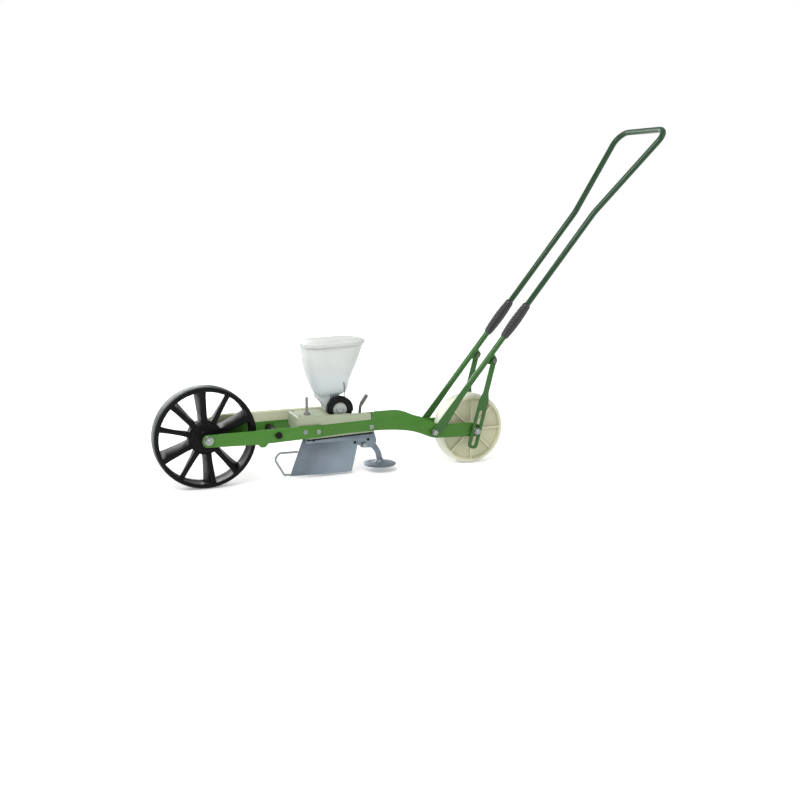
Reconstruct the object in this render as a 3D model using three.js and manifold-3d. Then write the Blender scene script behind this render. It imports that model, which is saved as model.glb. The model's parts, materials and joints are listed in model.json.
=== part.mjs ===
// A single-row push seeder: a spoked drive wheel in front, a press wheel behind, and between them a seed
// unit with its hopper, an opener shoe and a coverer, all on two steel side rails with a tilting handle.
// Millimetres. +X is the way it is pushed, +Y its left side, +Z up. Places are taken from a point on a level
// datum plane just behind the front axle. The finished group stands on the ground, centred on its footprint.
import * as THREE from 'three';
import { mergeVertices } from 'three/addons/utils/BufferGeometryUtils.js';
import Module from 'manifold-3d';

const wasm = await Module();
wasm.setup();

// ---- Driving dimensions ------------------------------------------------------------------------------
const wheelbase = 766;
const frontAxleAhead = 3; // how far the front axle lies ahead of the datum point
const datumHeight = 2; // the level plane that heights are taken from lies this far above the ground
const seatGap = 0.4; // between pieces that touch
const runningGap = 0.5; // between a turning bore and its shaft

const frontRadius = 136;
const frontWidth = 50;
const rimThickness = 13.5;
const frontHubRadius = 45;
const spokeCount = 10;
const spokeThickness = 12.5;
const spokeFlare = 1.25; // how much thicker a spoke is at its two ends
const spokeSlant = THREE.MathUtils.degToRad(3.3);
const firstSpokeAngle = THREE.MathUtils.degToRad(157);

const rearRadius = 101;
const rearWidth = 54;
const rearHubRadius = 21;
const rearRibCount = 8;
const rearRecess = 8;

const axleRadius = 6;
const spacerRadius = 10;
const nutRadius = 11;
const nutHeight = 8;

const railInner = 44; // half the clear width between the side rails
const railThickness = 4;
const armThickness = 5;
const bracketThickness = 4;

const handleAngle = THREE.MathUtils.degToRad(50.9);
const handleLength = 1086; // pivot to grip, along the handle
const handleTubeRadius = 8.5;
const handleTubeWall = 1.5;
const gripHalfWidth = 123;
const flareStart = 782;
const sleeveCentre = 392;
const sleeveLength = 115;
const sleeveRadius = 15;

const bootTop = 100; // height of the opener boot's top
const unitPitch = THREE.MathUtils.degToRad(2.4); // the seed unit leans with the top of the rails

// ---- Places worked out from them ---------------------------------------------------------------------
const frontAxle = { x: frontAxleAhead, z: frontRadius - datumHeight };
const rearAxle = { x: frontAxle.x - wheelbase, z: rearRadius - datumHeight };
const railOuter = railInner + railThickness;
const armInner = railOuter + seatGap;
const armOuter = armInner + armThickness;
const plateOuter = armInner + bracketThickness;
const braceInner = plateOuter + seatGap;
const braceOuter = braceInner + bracketThickness;
const handlePivot = { x: rearAxle.x + 129, z: rearAxle.z + 6 };
const handleCentre = armInner + bracketThickness / 2; // Y of each handle tube
const rollerAxis = { x: -363, z: 184 };
const coverPivot = { x: -437, z: 78 };

const colours = {
  frame: { color: 0x3f7d2c, metalness: 0.2, roughness: 0.4 },
  handle: { color: 0x2c6325, metalness: 0.2, roughness: 0.4 },
  black: { color: 0x17181a, metalness: 0, roughness: 0.5 },
  cream: { color: 0xd9d8ae, metalness: 0, roughness: 0.45 },
  milky: { color: 0xdfe3df, metalness: 0, roughness: 0.3 },
  wheel: { color: 0xcfcdb4, metalness: 0, roughness: 0.4 },
  grey: { color: 0x8c8f90, metalness: 0, roughness: 0.5 },
  steel: { color: 0x77818a, metalness: 0.8, roughness: 0.35 },
  zinc: { color: 0xc4c8cb, metalness: 0.9, roughness: 0.3 },
};

// ---- Helpers -----------------------------------------------------------------------------------------
const rad = THREE.MathUtils.degToRad;

// A closed mesh as a solid; it is turned right side out first if its faces point in.
function solid(geometry) {
  const clean = geometry.clone();
  clean.deleteAttribute('normal');
  clean.deleteAttribute('uv');
  const merged = mergeVertices(clean, 1e-4);
  const points = merged.attributes.position;
  const index = Array.from(merged.index.array);
  const [a, b, c] = [new THREE.Vector3(), new THREE.Vector3(), new THREE.Vector3()];
  let volume = 0;
  for (let i = 0; i < index.length; i += 3) {
    a.fromBufferAttribute(points, index[i]);
    b.fromBufferAttribute(points, index[i + 1]);
    c.fromBufferAttribute(points, index[i + 2]);
    volume += a.dot(b.cross(c));
  }
  const triVerts = new Uint32Array(volume < 0 ? index.reverse() : index);
  return new wasm.Manifold(new wasm.Mesh({ numProp: 3, vertProperties: points.array, triVerts }));
}

function toGeometry(body) {
  const mesh = body.getMesh();
  const geometry = new THREE.BufferGeometry();
  geometry.setAttribute('position', new THREE.BufferAttribute(new Float32Array(mesh.vertProperties), 3));
  geometry.setIndex(new THREE.BufferAttribute(new Uint32Array(mesh.triVerts), 1));
  geometry.computeVertexNormals();
  return geometry;
}

const join = (...bodies) => bodies.reduce((sum, body) => sum.add(body));
const cut = (body, ...tools) => tools.reduce((rest, tool) => rest.subtract(tool), body);

// A shape through [x, z] or [x, z, corner radius] points.
function outline(points) {
  const shape = new THREE.Shape();
  points.forEach(([x, z, radius = 0], i) => {
    const corner = new THREE.Vector2(x, z);
    const before = points[(i + points.length - 1) % points.length];
    const after = points[(i + 1) % points.length];
    const toBefore = new THREE.Vector2(before[0], before[1]).sub(corner).setLength(radius);
    const toAfter = new THREE.Vector2(after[0], after[1]).sub(corner).setLength(radius);
    const start = corner.clone().add(toBefore);
    const end = corner.clone().add(toAfter);
    if (i === 0) shape.moveTo(start.x, start.y);
    else shape.lineTo(start.x, start.y);
    if (radius > 0) shape.quadraticCurveTo(x, z, end.x, end.y);
  });
  shape.closePath();
  return shape;
}

// An outline in the X-Z plane, made as thick as from yLow to yHigh.
function plate(shape, yLow, yHigh, curveSegments = 5) {
  const geometry = new THREE.ExtrudeGeometry(shape, { depth: yHigh - yLow, bevelEnabled: false, curveSegments });
  return solid(geometry.rotateX(Math.PI / 2).translate(0, yHigh, 0));
}

// A round bar or disc across the machine.
function bar(centre, radius, yLow, yHigh, sides = 18) {
  const geometry = new THREE.CylinderGeometry(radius, radius, yHigh - yLow, sides);
  return solid(geometry.translate(centre.x, (yLow + yHigh) / 2, centre.z));
}

// A turned part on an axis across the machine, from [radius, y] points in order.
function turned(centre, profile, segments = 48) {
  const points = [...profile, profile[0]].map(([radius, y]) => new THREE.Vector2(radius, y));
  return solid(new THREE.LatheGeometry(points, segments).translate(centre.x, 0, centre.z));
}

function block(x, y, z) {
  const size = [x[1] - x[0], y[1] - y[0], z[1] - z[0]];
  const geometry = new THREE.BoxGeometry(...size);
  return solid(geometry.translate((x[0] + x[1]) / 2, (y[0] + y[1]) / 2, (z[0] + z[1]) / 2));
}

// An upright round post.
function post(x, y, zLow, zHigh, radius, sides = 16) {
  const geometry = new THREE.CylinderGeometry(radius, radius, zHigh - zLow, sides);
  return solid(geometry.rotateX(Math.PI / 2).translate(x, y, (zLow + zHigh) / 2));
}

// Straight runs joined by round bends. It has sections only at its stations, so a straight run costs none.
class BentPath extends THREE.Curve {
  constructor(corners) {
    super();
    this.stations = [];
    this.tangents = [];
    const last = corners.length - 1;
    corners.forEach(({ point, bend = 0, steps = 5 }, i) => {
      const back = i > 0 ? corners[i - 1].point.clone().sub(point).normalize() : null;
      const ahead = i < last ? corners[i + 1].point.clone().sub(point).normalize() : null;
      if (!back || !ahead) {
        this.stations.push(point.clone());
        this.tangents.push(ahead ? ahead : back.negate());
        return;
      }
      const half = back.angleTo(ahead) / 2;
      const centre = back.clone().add(ahead).setLength(bend / Math.sin(half)).add(point);
      const start = back.clone().multiplyScalar(bend / Math.tan(half)).add(point).sub(centre);
      const axis = back.clone().negate().cross(ahead).normalize();
      for (let k = 0; k <= steps; k++) {
        const turn = ((Math.PI - 2 * half) * k) / steps;
        this.stations.push(start.clone().applyAxisAngle(axis, turn).add(centre));
        this.tangents.push(back.clone().negate().applyAxisAngle(axis, turn));
      }
    });
    this.steps = this.stations.length - 1;
  }
  getPoint(t) {
    return this.stations[Math.round(t * this.steps)].clone();
  }
  getTangent(t) {
    return this.tangents[Math.round(t * this.steps)].clone();
  }
  getUtoTmapping(u) {
    return u;
  }
}

function rod(corners, radius, sides = 12) {
  const path = new BentPath(corners);
  const ring = [];
  for (let i = 0; i < sides; i++) {
    const angle = (2 * Math.PI * i) / sides;
    ring.push(new THREE.Vector2(radius * Math.cos(angle), radius * Math.sin(angle)));
  }
  return solid(new THREE.ExtrudeGeometry(new THREE.Shape(ring), { steps: path.steps, extrudePath: path }));
}

// A tube is the same rod with a smaller one, a little longer at both ends, taken out.
function tube(corners, radius, wall, sides = 16) {
  const longer = corners.map((corner) => ({ ...corner, point: corner.point.clone() }));
  const last = longer.length - 1;
  for (const [end, next] of [[0, 1], [last, last - 1]]) {
    const outward = corners[end].point.clone().sub(corners[next].point).normalize();
    longer[end].point.add(outward);
  }
  return cut(rod(corners, radius, sides), rod(longer, radius - wall, sides));
}

// Places along the handle: s from its pivot towards the grip, y across, off square to it (up and forward).
const along = new THREE.Vector3(-Math.cos(handleAngle), 0, Math.sin(handleAngle));
const square = new THREE.Vector3(Math.sin(handleAngle), 0, Math.cos(handleAngle));
function onHandle(s, y, off = 0) {
  const start = new THREE.Vector3(handlePivot.x, y, handlePivot.z);
  return start.addScaledVector(along, s).addScaledVector(square, off);
}

const machine = new THREE.Group();
function add(name, body, finish, parent = machine) {
  const mesh = new THREE.Mesh(toGeometry(body), new THREE.MeshStandardMaterial(finish));
  mesh.name = name;
  parent.add(mesh);
  return mesh;
}
const sides = [
  { tag: 'left', sign: 1 },
  { tag: 'right', sign: -1 },
];
const span = (sign, inner, outer) => (sign > 0 ? [inner, outer] : [-outer, -inner]);

// ---- Front drive wheel -------------------------------------------------------------------------------
// Ten flat blades join hub and rim. They lean by turns to one side and to the other across the tread.
function spoke(angle, slant) {
  const inner = frontHubRadius - 4;
  const outer = frontRadius - rimThickness / 2;
  const length = outer - inner;
  const geometry = new THREE.BoxGeometry(length, frontWidth - 6, spokeThickness, 4, 1, 1);
  const points = geometry.attributes.position;
  for (let i = 0; i < points.count; i++) {
    const share = points.getX(i) / length + 0.5;
    const foot = share < 0.1 || share > 0.9 ? spokeFlare : 1;
    const width = THREE.MathUtils.lerp(0.9, 1, share);
    const y = points.getY(i) * width;
    const lean = angle + (slant * 2 * y) / frontWidth;
    const r = inner + share * length;
    const side = points.getZ(i) * foot;
    points.setXYZ(i, r * Math.cos(lean) - side * Math.sin(lean), y, r * Math.sin(lean) + side * Math.cos(lean));
  }
  return solid(geometry.translate(frontAxle.x, 0, frontAxle.z));
}

function frontWheel() {
  const half = frontWidth / 2;
  const inner = frontRadius - rimThickness;
  const rim = turned(frontAxle, [
    [inner, -half], [frontRadius - 4, -half], [frontRadius - 1.2, -half + 5], [frontRadius, -half + 15],
    [frontRadius, half - 15], [frontRadius - 1.2, half - 5], [frontRadius - 4, half], [inner, half],
    [inner + 3, half - 9], [inner + 3, -half + 9],
  ], 48);
  const bore = axleRadius + runningGap;
  const hub = turned(frontAxle, [
    [bore, -half], [18, -half], [21, -half + 5], [frontHubRadius - 6, -half + 5],
    [frontHubRadius, -half + 10], [frontHubRadius, half - 10], [frontHubRadius - 6, half - 5],
    [21, half - 5], [18, half], [bore, half],
  ], 24);
  const spokes = [];
  for (let k = 0; k < spokeCount; k++) {
    const slant = k % 2 === 0 ? spokeSlant : -spokeSlant;
    spokes.push(spoke(firstSpokeAngle - (2 * Math.PI * k) / spokeCount, slant));
  }
  return join(rim, hub, ...spokes);
}
add('front_wheel', frontWheel(), colours.black);

// ---- Rear press wheel --------------------------------------------------------------------------------
function rearWheel() {
  const half = rearWidth / 2;
  const web = half - rearRecess;
  const bore = axleRadius + runningGap;
  const rimInner = rearRadius - 12;
  const body = turned(rearAxle, [
    [bore, -half], [rearHubRadius - 1, -half], [rearHubRadius + 2, -web],
    [rimInner - 3, -web], [rimInner, -half], [rearRadius - 6, -half], [rearRadius - 1.8, -half + 5],
    [rearRadius, -half + 12], [rearRadius, half - 12], [rearRadius - 1.8, half - 5], [rearRadius - 6, half],
    [rimInner, half], [rimInner - 3, web], [rearHubRadius + 2, web], [rearHubRadius - 1, half], [bore, half],
  ], 42);
  const ribs = [];
  for (let k = 0; k < rearRibCount; k++) {
    const length = rimInner - rearHubRadius + 2;
    const geometry = new THREE.BoxGeometry(length, 2 * (half - 2), 5);
    geometry.translate(rearHubRadius - 1 + length / 2, 0, 0).rotateY((2 * Math.PI * k) / rearRibCount);
    ribs.push(solid(geometry.translate(rearAxle.x, 0, rearAxle.z)));
  }
  return join(body, ...ribs);
}
add('rear_wheel', rearWheel(), colours.wheel);

// ---- Axles and cross bolts ---------------------------------------------------------------------------
// A through bolt with a spacer on each side that runs from the wheel's hub to the plates it clamps.
function throughBolt(centre, spacerFrom, spacerTo, end, radius = axleRadius) {
  const half = [[spacerRadius, spacerFrom], [spacerRadius, spacerTo], [radius, spacerTo], [radius, end], [0, end]];
  if (spacerFrom > 0) half.unshift([radius, spacerFrom]);
  const mirrored = half.map(([r, y]) => [r, -y]).reverse();
  return turned(centre, spacerFrom > 0 ? [...mirrored, ...half] : [...mirrored, ...half.slice(1)], 16);
}
const hexNut = (centre, sign, from, height, radius) => bar(centre, radius, ...span(sign, from, from + height), 6);

const frontAxleEnd = armOuter + seatGap + nutHeight;
add('front_axle', join(
  throughBolt(frontAxle, frontWidth / 2 + 0.8, armInner - seatGap, frontAxleEnd + 3),
  hexNut(frontAxle, 1, armOuter + seatGap, nutHeight, nutRadius),
  hexNut(frontAxle, -1, armOuter + seatGap, nutHeight, nutRadius),
), colours.zinc);

add('rear_axle', throughBolt(rearAxle, rearWidth / 2 + 0.8, railInner - seatGap, plateOuter), colours.zinc);

const frontSpacer = { x: -182, z: 134 };
add('front_cross_bolt', join(
  throughBolt(frontSpacer, 0, armInner - seatGap, armOuter + 3, 5),
  ...sides.map(({ sign }) => bar(frontSpacer, 9, ...span(sign, armOuter + seatGap, armOuter + 6))),
), colours.black);

const handleBoltEnd = plateOuter + seatGap + nutHeight;
add('handle_pivot_bolt', join(
  throughBolt(handlePivot, 0, railInner - seatGap, handleBoltEnd, 5),
  ...sides.map(({ sign }) => hexNut(handlePivot, sign, plateOuter + seatGap, nutHeight, 10)),
), colours.zinc);

// ---- Side rails and front arms -----------------------------------------------------------------------
// The left rail is low under the seed unit's flange and steps up behind it; the right one stays low.
const railFront = -196;
const railStep = -448;
const railLine = { zFront: 147.5, zStep: 155 };
const railLineAt = (x) => THREE.MathUtils.mapLinear(x, railFront, railStep, railLine.zFront, railLine.zStep);
// The shape behind the step is drawn on this length and stretched to reach the rear axle. On a shorter rail
// its slopes are steeper, so their corners are tighter.
const rearHalfDrawn = 315;
const rearHalf = (behindStep, z, radius) => {
  const stretch = (railStep - rearAxle.x) / rearHalfDrawn;
  return [railStep - behindStep * stretch, z, radius * Math.min(stretch, 1) ** 2];
};
const humpTop = 177;
const axleEnd = 17;
const railTop = {
  left: [rearHalf(114, 162, 14), rearHalf(82, humpTop, 24), [railStep - 3, humpTop, 5], [railStep, railLine.zStep, 2]],
  right: [rearHalf(102, railLine.zStep, 22), [railStep, railLine.zStep]],
};
const railTail = 124; // height of the rails' top edge over the rear wheel
function sideRail(tag, sign) {
  const shape = outline([
    [railFront, 117.5, 3], [-300, 118.5], [-375, 123.5, 40],
    rearHalf(57, 123.5, 50), rearHalf(124, 113, 30), rearHalf(182, 88, 14),
    [rearAxle.x - axleEnd, rearAxle.z - axleEnd, axleEnd], [rearAxle.x - axleEnd, rearAxle.z + axleEnd, axleEnd],
    [rearAxle.x + 15, railTail, 10], [rearAxle.x + 110, railTail, 20], ...railTop[tag],
    [railFront, railLine.zFront, 3],
  ]);
  const body = plate(shape, ...span(sign, railInner, railOuter));
  const holes = [[rearAxle, axleRadius], [handlePivot, 5]].map(([centre, radius]) =>
    bar(centre, radius + seatGap, -railOuter - 1, railOuter + 1));
  return cut(body, ...holes);
}
function frontArm(sign) {
  const tip = 16;
  const tipZ = frontAxle.z - 1.5; // the axle sits a little above the middle of the arm's round end
  const shape = outline([
    [frontAxle.x + tip, tipZ - tip, tip], [-75, 113.5, 20], [-126, 112.5], [-134, 104, 3], [-146, 104, 3], [-154, 113.5],
    [-302, 119, 3], [-302, 152, 3], [-160, 150.5, 20],
    [frontAxle.x + tip, tipZ + tip, tip],
  ]);
  const body = plate(shape, ...span(sign, armInner, armOuter));
  const holes = [[frontAxle, axleRadius], [frontSpacer, 5]].map(([centre, radius]) =>
    bar(centre, radius + seatGap, -armOuter - 1, armOuter + 1));
  return cut(body, ...holes);
}
for (const { tag, sign } of sides) {
  add(`side_rail_${tag}`, sideRail(tag, sign), colours.frame);
  add(`front_arm_${tag}`, frontArm(sign), colours.frame);
}

// ---- Seed unit ---------------------------------------------------------------------------------------
// The base is a moulded box between the rails, stepped down behind the roller, with a flange that lies on
// the left rail. The roller housing lies in a round saddle in its deck.
const baseHalf = railInner - seatGap;
const housing = { outer: 34, inner: 30.5, far: -34, near: 12 };
const cap = { outer: 35, inner: 20.5, near: 28 };
const baseDeck = { front: -236, rear: -385, z: 176 };
const baseTail = { rear: -452, z: 156 };
const flange = { front: baseDeck.front, rear: -444, inner: 40 };
const baseFloor = { front: -266, rear: -455, zFront: 112.5, zRear: 119.5 };
const shaftRadius = 6;
const dropHalf = 11;
// The way of the seed from the roller down through the base and the opener.
const seedDrop = () => block([rollerAxis.x - dropHalf, rollerAxis.x + dropHalf], [-dropHalf, dropHalf],
  [bootTop - 10, rollerAxis.z - 20]);
const floorAt = (x) =>
  THREE.MathUtils.mapLinear(x, baseFloor.front, baseFloor.rear, baseFloor.zFront, baseFloor.zRear);
function seedBase() {
  const body = plate(outline([
    [baseDeck.front, baseDeck.z, 4], [baseDeck.front, 135, 8], [baseFloor.front, baseFloor.zFront, 6],
    [baseFloor.rear, baseFloor.zRear, 6], [baseTail.rear, baseTail.z, 4], [baseDeck.rear, baseTail.z, 3],
    [baseDeck.rear, baseDeck.z, 3],
  ]), -baseHalf, baseHalf);
  const lip = plate(outline([
    [flange.front, baseDeck.z, 3], [flange.front, railLineAt(flange.front) + seatGap],
    [flange.rear, railLineAt(flange.rear) + seatGap], [flange.rear, baseDeck.z - 2, 6],
  ]), flange.inner, railOuter);
  const foot = plate(outline([
    [flange.front, railLineAt(flange.front) + seatGap + 4], [flange.front, 140], [flange.rear, 140],
    [flange.rear, railLineAt(flange.rear) + seatGap + 4],
  ]), flange.inner, baseHalf);
  const saddle = join(
    bar(rollerAxis, cap.outer + seatGap, 0, flange.inner, 36),
    bar(rollerAxis, housing.outer + seatGap, housing.far - seatGap, 1, 36),
  );
  const shaftHole = bar(rollerAxis, shaftRadius + 1.5, -baseHalf - 1, 0);
  return cut(join(body, lip, foot), saddle, seedDrop(), shaftHole);
}
add('seed_unit_base', seedBase(), colours.cream);

// The hopper's neck passes through the top of the housing, so the housing is cut in the hopper's section,
// after the hopper rows below.
add('roller_cap', turned(rollerAxis, [
  [cap.inner, housing.near + seatGap], [cap.outer, housing.near + seatGap], [cap.outer, cap.near - 2],
  [cap.outer - 2, cap.near], [cap.inner + 2, cap.near], [cap.inner, cap.near - 2],
], 40), colours.black);

// The seed roller: a drum with a row of cells, its grey end in the cap, and a shaft into the chain case.
const drumRadius = 29.5;
const cellCount = 12;
const caseInner = armOuter + 7;
function seedRoller() {
  const body = turned(rollerAxis, [
    [0, housing.near + 12], [19.5, housing.near + 12], [19.5, housing.near - 2], [drumRadius, housing.near - 2],
    [drumRadius, housing.far + 6], [shaftRadius, housing.far + 6], [shaftRadius, -caseInner - 5],
    [0, -caseInner - 5],
  ], 30);
  const cells = [];
  for (let k = 0; k < cellCount; k++) {
    const geometry = new THREE.CylinderGeometry(3.5, 3.5, 6, 6);
    geometry.translate(0, drumRadius, 0).rotateX(Math.PI / 2).rotateY((2 * Math.PI * (k + 0.5)) / cellCount);
    cells.push(solid(geometry.translate(rollerAxis.x, -8, rollerAxis.z)));
  }
  const slot = block([rollerAxis.x - 12, rollerAxis.x + 12], [housing.near + 9, housing.near + 14],
    [rollerAxis.z - 2, rollerAxis.z + 2]);
  return cut(body, ...cells, slot);
}
add('seed_roller', seedRoller(), colours.grey);

// The chain case lies outside the right rail, from the front axle back to the roller's shaft.
const caseThickness = 18;
const caseTop = 175;
const caseRear = 22; // radius of its round rear end
const caseFeet = [{ x: -120, z: 140 }, { x: -290, z: 142 }];
function chainCase() {
  const y = [-caseInner - caseThickness, -caseInner];
  const nose = 24;
  const band = plate(outline([
    [frontAxle.x + 4, frontAxle.z + nose, 10], [-52, caseTop, 16], [rollerAxis.x + 12, caseTop],
    [rollerAxis.x, rollerAxis.z], [rollerAxis.x, caseTop - 28], [frontAxle.x, frontAxle.z - nose],
  ]), ...y);
  const feet = caseFeet.map((foot) => bar(foot, 8, -caseInner - 1, -armOuter - seatGap, 20));
  return cut(
    join(band, bar(frontAxle, nose, ...y, 32), bar(rollerAxis, caseRear, ...y, 28), ...feet),
    bar(frontAxle, nutRadius + 1, -frontAxleEnd - 4, 0),
    bar(rollerAxis, shaftRadius + runningGap, -caseInner - 6, 0),
  );
}
add('chain_case', chainCase(), colours.cream);

// ---- Hopper ------------------------------------------------------------------------------------------
// Rounded-rectangle sections up the hopper: height, centre, half length, half width and corner radius.
const hopperWall = 2.5;
const hopperRows = [
  { z: 216.5, x: -357, y: -10.5, long: 15, wide: 12, corner: 6 },
  { z: 220, x: -356, y: -10, long: 16, wide: 12.5, corner: 7 },
  { z: 230, x: -346, y: -4, long: 44, wide: 22, corner: 17 },
  { z: 242, x: -344, y: -2, long: 48.6, wide: 28, corner: 22 },
  { z: 266, x: -342, y: 0, long: 55.7, wide: 36, corner: 28 },
  { z: 294, x: -344, y: 0, long: 66.2, wide: 43.5, corner: 33 },
  { z: 322, x: -347.4, y: 0, long: 74.7, wide: 50, corner: 37 },
  { z: 350, x: -352.2, y: 0, long: 80.7, wide: 55, corner: 40 },
  { z: 369, x: -353.5, y: 0, long: 80.5, wide: 56.5, corner: 41 },
];
const hopperTurn = new THREE.Vector3(rollerAxis.x, 0, rollerAxis.z);
function ringOf({ z, x, y, long, wide, corner }, inset, perCorner = 5) {
  const ring = [];
  const r = Math.max(corner - inset, 2);
  for (const [sx, sy, start] of [[1, 1, 0], [-1, 1, 90], [-1, -1, 180], [1, -1, 270]]) {
    for (let k = 0; k < perCorner; k++) {
      const angle = rad(start + (90 * k) / (perCorner - 1));
      const px = x + sx * (long - inset - r) + r * Math.cos(angle);
      ring.push([px, y + sy * (wide - inset - r) + r * Math.sin(angle), z]);
    }
  }
  return ring;
}
// A closed skin over a list of equal rings, each joined to the next, capped at both ends.
function loft(rings) {
  const count = rings[0].length;
  const index = [];
  for (let level = 0; level < rings.length - 1; level++) {
    for (let k = 0; k < count; k++) {
      const [a, b] = [level * count + k, level * count + ((k + 1) % count)];
      index.push(a, b, b + count, a, b + count, a + count);
    }
  }
  const top = (rings.length - 1) * count;
  for (let k = 1; k < count - 1; k++) {
    index.push(0, k + 1, k);
    index.push(top, top + k, top + k + 1);
  }
  const geometry = new THREE.BufferGeometry();
  geometry.setAttribute('position', new THREE.Float32BufferAttribute(rings.flat(2), 3));
  geometry.setIndex(index);
  return solid(geometry);
}
const hopperGroup = new THREE.Group();
hopperGroup.position.copy(hopperTurn);
hopperGroup.rotation.y = unitPitch;
machine.add(hopperGroup);
const inHopperGroup = (body) => body.translate([-hopperTurn.x, -hopperTurn.y, -hopperTurn.z]);

const hopperTopRow = hopperRows[hopperRows.length - 1];
const knuckleRadius = 3.7;
const lidHinge = { x: hopperTopRow.x - hopperTopRow.long - 7.7, z: hopperTopRow.z - 2 };
function hopper() {
  const outside = loft(hopperRows.map((row) => ringOf(row, 0)));
  const deep = hopperRows.map((row) => ringOf(row, hopperWall));
  const first = hopperRows[0];
  const last = hopperTopRow;
  const inside = loft([ringOf({ ...first, z: first.z - 1 }, hopperWall), ...deep,
    ringOf({ ...last, z: last.z + 1 }, hopperWall)]);
  const ear = sides.map(({ sign }) => {
    const [y0, y1] = span(sign, 14, 19);
    const start = hopperTopRow.x - hopperTopRow.long;
    return plate(outline([[start + 1.5, lidHinge.z + 4], [lidHinge.x - 3.5, lidHinge.z + 4, 3],
      [lidHinge.x - 3.5, lidHinge.z - 5, 3], [start + 1.5, lidHinge.z - 16]]), y0, y1);
  });
  return join(cut(outside, inside), ...ear, bar(lidHinge, 2, -16, 16, 12));
}
add('hopper', inHopperGroup(hopper()), colours.milky, hopperGroup);

function rollerHousing() {
  const shell = turned(rollerAxis, [
    [housing.inner, housing.near], [housing.inner, housing.far + 4], [shaftRadius + 1.5, housing.far + 4],
    [shaftRadius + 1.5, housing.far], [housing.outer, housing.far], [housing.outer, housing.near],
  ], 40);
  const [foot] = hopperRows;
  // The nose fills the space below the hopper's front.
  const nose = plate(outline([
    [-300, 240], [-304, 216], [-323, 196, 12], [-328, rollerAxis.z - 5], [rollerAxis.x + 26, rollerAxis.z - 5],
    [rollerAxis.x + 22, 240],
  ]), -20, 10);
  const mouth = loft([{ ...foot, z: rollerAxis.z + 10 }, ...hopperRows].map((row) => ringOf(row, -seatGap)));
  const inPlace = inHopperGroup(mouth).rotate([0, THREE.MathUtils.radToDeg(unitPitch), 0]);
  const barrel = bar(rollerAxis, housing.inner, housing.far + 4, housing.near, 40);
  return cut(join(shell, cut(nose, barrel)), inPlace.translate(hopperTurn.toArray()), seedDrop());
}
add('roller_housing', rollerHousing(), colours.grey);

// The lid is a shallow cap over the rim, hinged behind it on the pin between the hopper's ears.
const lidSkirt = 6;
function lid() {
  const grow = 3;
  const wallIn = 1;
  const base = hopperTopRow.z - lidSkirt;
  const at = (z, inset) => ringOf({ ...hopperTopRow, z }, inset);
  const shell = loft([at(base, -grow), at(hopperTopRow.z + 2, -grow), at(hopperTopRow.z + 4.5, -grow + 2.5),
    at(hopperTopRow.z + 7, 14), at(hopperTopRow.z + 8, 32)]);
  const hollow = loft([at(base - 1, -wallIn), at(hopperTopRow.z + seatGap, -wallIn)]);
  const start = hopperTopRow.x - hopperTopRow.long;
  const knuckle = join(
    bar(lidHinge, knuckleRadius, -12.5, 12.5, 20),
    block([lidHinge.x, start], [-12.5, 12.5], [lidHinge.z + 0.9, lidHinge.z + knuckleRadius]),
  );
  const notch = sides.map(({ sign }) =>
    block([lidHinge.x - 6, start + 2.5], span(sign, 13, 20), [base - 2, hopperTopRow.z + 3]));
  return cut(join(cut(shell, hollow, ...notch), knuckle), bar(lidHinge, 2 + seatGap, -20, 20, 12));
}
add('hopper_lid', inHopperGroup(lid()), colours.milky, hopperGroup);

// ---- Hopper and roller fittings ----------------------------------------------------------------------
const fittingY = 20;
// A collar that stands on the deck.
const collar = { radius: 7, height: 6 };
const deckCollar = (x, deck) =>
  post(x, fittingY, deck + seatGap, deck + seatGap + collar.height, collar.radius);
const pinX = -270;
add('hopper_catch_pin', join(deckCollar(pinX, baseDeck.z), post(pinX, fittingY, baseDeck.z + 3, 224, 4)), colours.grey);
const leverX = -420;
add('release_lever', join(deckCollar(leverX, baseTail.z), rod([
  { point: new THREE.Vector3(leverX, fittingY, baseTail.z + 3) },
  { point: new THREE.Vector3(leverX - 3, fittingY, 190), bend: 20 },
  { point: new THREE.Vector3(leverX - 22, fittingY, 219) },
], 4)), colours.grey);

// ---- Opener ------------------------------------------------------------------------------------------
// A channel under the base carries the boot in front and the coverer's pivot behind.
const openerSheet = 2.5;
const bootHalf = 13;
const channelHalf = bootHalf + seatGap + openerSheet;
function openerChannel() {
  const roof = (x) => floorAt(x) - seatGap;
  const side = outline([
    [-268, roof(-268), 3], [-268, bootTop - 6], [-300, bootTop - 6], [-414, bootTop - 8], [-427, 70, 6],
    [-462, 68, 8], [-474, 84, 8], [-464, roof(-464), 3],
  ]);
  const solidSide = plate(side, -channelHalf, channelHalf);
  const inner = channelHalf - openerSheet;
  const hollow = plate(outline([
    [-260, roof(-260) - openerSheet], [-260, 50], [-480, 50], [-480, roof(-480) - openerSheet],
  ]), -inner, inner);
  return cut(solidSide, hollow, bar(coverPivot, 4.4, -30, 30, 16), seedDrop());
}
add('opener_channel', openerChannel(), colours.steel);

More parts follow.
